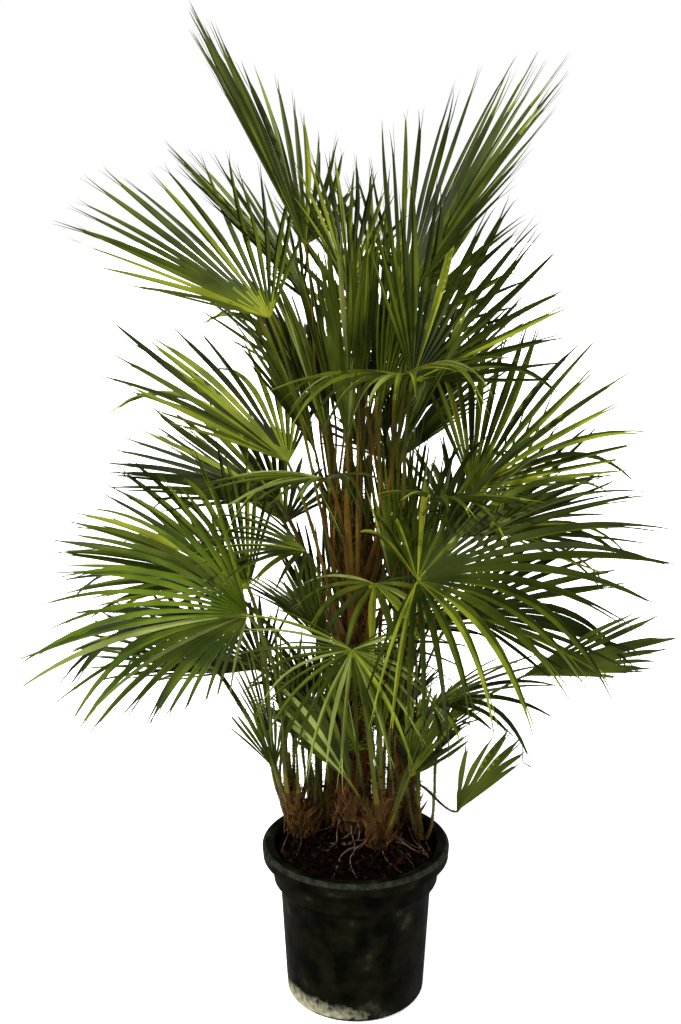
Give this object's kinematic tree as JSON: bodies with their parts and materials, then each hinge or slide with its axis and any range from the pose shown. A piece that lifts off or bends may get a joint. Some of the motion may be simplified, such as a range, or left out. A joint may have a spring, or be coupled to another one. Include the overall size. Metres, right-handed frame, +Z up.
{
  "type": "potted european fan palm",
  "caption": "A clump of fan palm stems with stiff, deeply cut fans on slender stalks, growing in a round black plastic nursery pot.",
  "frame": {"origin": "centre of the pot's flat underside", "axes": "+Z up; the picture looks along +Y, with +X to its right"},
  "size_m": [1.2297, 1.2538, 1.8379],
  "materials": {
    "pot_plastic": "near-black moulded nursery-pot plastic, satin, with pale lime stains low down",
    "compost": "dark red-brown crumbly compost with pale root ends",
    "stem_fibre": "brown old leaf bases wrapped in orange-brown fibre",
    "frond": "stiff olive-green leaf, satin, yellow-green towards the hub"
  },
  "bodies": {
    "root": {"fan_centre": "frond", "fan_centre_left": "frond", "fan_centre_right": "frond", "fan_dark_left": "frond", "fan_far_right": "frond", "fan_front": "frond", "fan_front_centre": "frond", "fan_inner_left": "frond", "fan_inner_right": "frond", "fan_low_left": "frond", "fan_low_right": "frond", "fan_lower_left": "frond", "fan_lower_right": "frond", "fan_middle_left": "frond", "fan_middle_right": "frond", "fan_ring_01": "frond", "fan_ring_02": "frond", "fan_ring_03": "frond", "fan_ring_04": "frond", "fan_ring_05": "frond", "fan_ring_06": "frond", "fan_ring_07": "frond", "fan_ring_08": "frond", "fan_ring_09": "frond", "fan_ring_10": "frond", "fan_ring_11": "frond", "fan_ring_12": "frond", "fan_small_front": "frond", "fan_small_left": "frond", "fan_small_right": "frond", "fan_top_back": "frond", "fan_top_far_left": "frond", "fan_top_left": "frond", "fan_top_right": "frond", "fan_under_left": "frond", "fan_under_right": "frond", "fan_upper_left": "frond", "fan_upper_right": "frond", "pot": "pot_plastic", "soil": "compost", "stem_back": "stem_fibre", "stem_front": "stem_fibre", "stem_left": "stem_fibre", "stem_main": "stem_fibre", "stem_right": "stem_fibre"}
  },
  "joints": []
}
